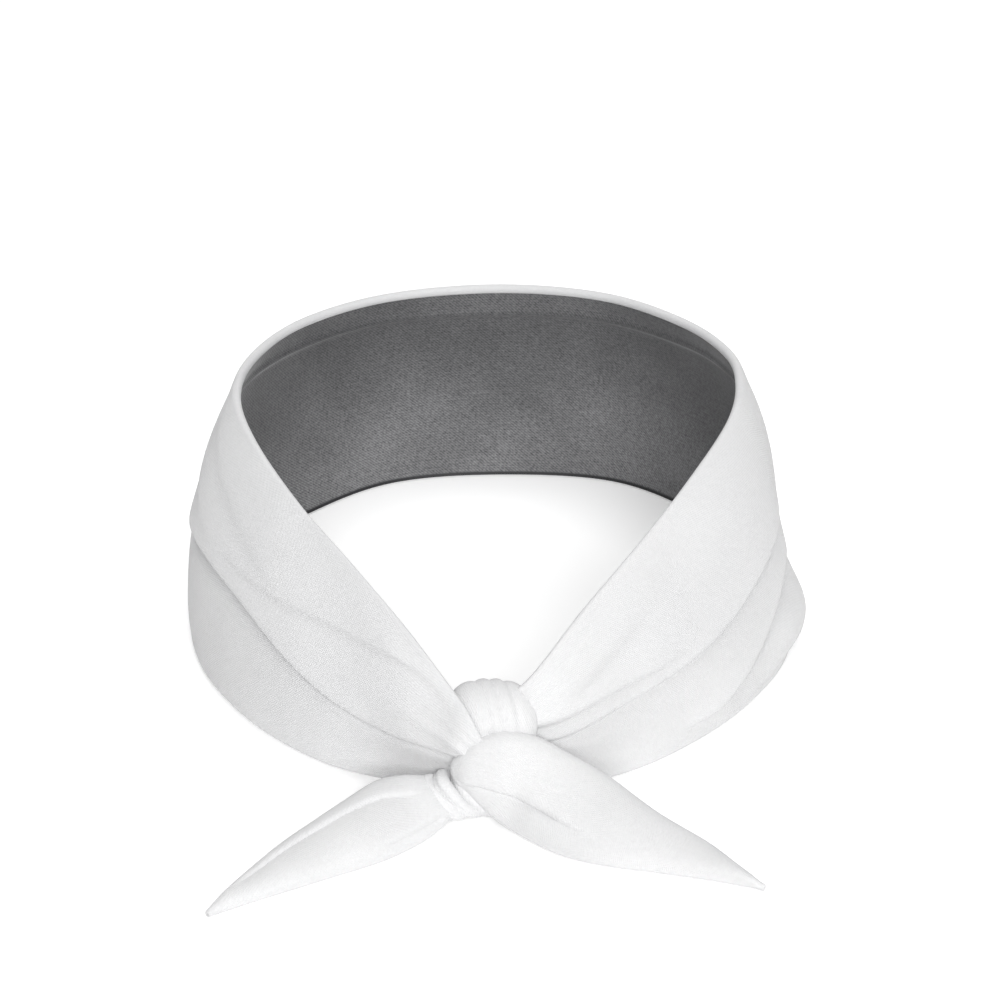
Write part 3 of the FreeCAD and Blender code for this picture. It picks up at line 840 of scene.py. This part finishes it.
def tail_pieces():
    grid = leaf_grid(RIGHT_FAR, RIGHT_NEAR, RIGHT_THICK, RIGHT_CREASES, RIGHT_ROWS)
    beyond = ((grid.mean(1) - RIGHT_PIVOT) * RIGHT_WAY).sum(1)
    cut = int(np.argmax(beyond > CUT_AT))
    fold = dress(finished(leaf_piece("knot_front_fold", grid[:cut + 1])), "white_knit",
                 nodes=["knot_front_turn", "right_tail_wrap"])
    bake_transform(fold)
    leaf = dress(finished(leaf_piece("right_tail_leaf", grid[cut:])), "white_knit",
                 nodes=["right_tail_neck", "right_tail_outer"])
    inside = grid[cut + RIGHT_LINING_FROM:-LINING_SHORT, ::2]
    lining = dress(finished(leaf_lining("right_tail_inner", inside, LINING_INSET)), "charcoal_lining",
                   nodes=["right_tail_lining"])
    for piece in (leaf, lining):
        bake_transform(piece)
    dress(tip_thread("right_tip_thread", RIGHT_FAR, RIGHT_NEAR), "sewing_thread", "right_tail",
          ["right_tail_tip_tack"])

    grid_left = leaf_grid(LEFT_FAR, LEFT_NEAR, LEFT_THICK, LEFT_CREASES, LEFT_ROWS)
    left_leaf = dress(finished(leaf_piece("left_tail_leaf", grid_left[LEFT_LEAF_FROM:, ::-1])), "white_knit",
                      nodes=["left_tail_neck", "left_tail_outer"])
    inside = grid_left[LEFT_LINING_FROM:-LINING_SHORT, ::2]
    left_lining = dress(finished(leaf_lining("left_tail_inner", inside, LINING_INSET)), "charcoal_lining",
                        nodes=["left_tail_lining"])
    for piece in (left_leaf, left_lining):
        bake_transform(piece)
    dress(tip_thread("left_tip_thread", LEFT_FAR, LEFT_NEAR), "sewing_thread", "left_tail",
          ["left_tail_tip_tack"])


def tip_thread(name, far, near):
    """A few turns of thread that close the tip of a tail."""
    last = 0.5 * (np.array(far[-1]) + np.array(near[-1]))
    before = 0.5 * (np.array(far[-2]) + np.array(near[-2]))
    way = unit(last - before)
    side = unit(np.cross(way, [0, 0, 1]))
    top = np.cross(side, way)
    turns, steps = 5, 90
    points = []
    for i in range(steps):
        a = 2 * math.pi * turns * i / (steps - 1)
        radius = 0.62 - 0.36 * i / (steps - 1)
        centre = last + way * (-2.4 + 1.5 * i / (steps - 1)) + np.array([0, 0, 0.2])
        points.append(centre + side * radius * math.cos(a) + top * radius * 0.7 * math.sin(a))
    return thread_path(name, points, 0.10)


# ---------------------------------------------------------------- floor, lights, camera

WORLD_LIGHT = 0.11
FLOOR_GLOW = 0.28           # the floor gives off this much light of its own, to stay pure white
FLOOR_HALF = 6.0
FLOOR_DROP = 0.0002
# Area lights: name, place, size of the square and power.
LIGHTS = [
    ("key_light", (0.20, -1.67, 0.90), 0.9, 33.0),
    ("top_light", (0.1, 0.10, 1.7), 1.2, 16.0),
    ("back_light", (-0.4, 1.9, 0.9), 1.2, 14.0),
]
CAMERA_DISTANCE = 0.700
CAMERA_ELEVATION = 28.0
CAMERA_RAISE = 2.52         # degrees that the camera looks above the object's foot
CAMERA_LENS = 91.5


def stage():
    """White floor, world light and three area lights."""
    floor_mesh = bpy.data.meshes.new("floor")
    corners = [(-1, -1), (1, -1), (1, 1), (-1, 1)]
    floor_mesh.from_pydata([(FLOOR_HALF * x, FLOOR_HALF * y, 0) for x, y in corners], [], [(0, 1, 2, 3)])
    floor = bpy.data.objects.new("floor", floor_mesh)
    bpy.context.scene.collection.objects.link(floor)
    floor.location.z = -FLOOR_DROP
    material, _, _, shader = new_material("pale_floor", (0.86, 0.86, 0.86), 0.9)
    shader.inputs["Specular IOR Level"].default_value = 0.1
    shader.inputs["Emission Color"].default_value = (1, 1, 1, 1)
    shader.inputs["Emission Strength"].default_value = FLOOR_GLOW
    floor_mesh.materials.append(material)
    world = bpy.data.worlds.new("studio")
    world.use_nodes = True
    world.node_tree.nodes["Background"].inputs["Color"].default_value = (1, 1, 1, 1)
    world.node_tree.nodes["Background"].inputs["Strength"].default_value = WORLD_LIGHT
    bpy.context.scene.world = world
    for name, place, size, power in LIGHTS:
        data = bpy.data.lights.new(name, "AREA")
        data.shape = "SQUARE"
        data.size = size
        data.energy = power
        lamp = bpy.data.objects.new(name, data)
        lamp.location = place
        way = Vector((0, 0, 0.02)) - Vector(place)
        lamp.rotation_euler = way.to_track_quat("-Z", "Y").to_euler()
        bpy.context.scene.collection.objects.link(lamp)


def camera():
    data = bpy.data.cameras.new("camera")
    data.sensor_width = 36
    data.lens = CAMERA_LENS
    view = bpy.data.objects.new("camera", data)
    height = math.radians(CAMERA_ELEVATION)
    view.location = (0, -CAMERA_DISTANCE * math.cos(height), CAMERA_DISTANCE * math.sin(height))
    view.rotation_euler = (math.radians(90 - CAMERA_ELEVATION + CAMERA_RAISE), 0, 0)
    bpy.context.scene.collection.objects.link(view)
    bpy.context.scene.camera = view


camera()
stage()
bpy.context.scene.view_settings.view_transform = "Standard"
loop_pieces()
knot_pieces()
tail_pieces()
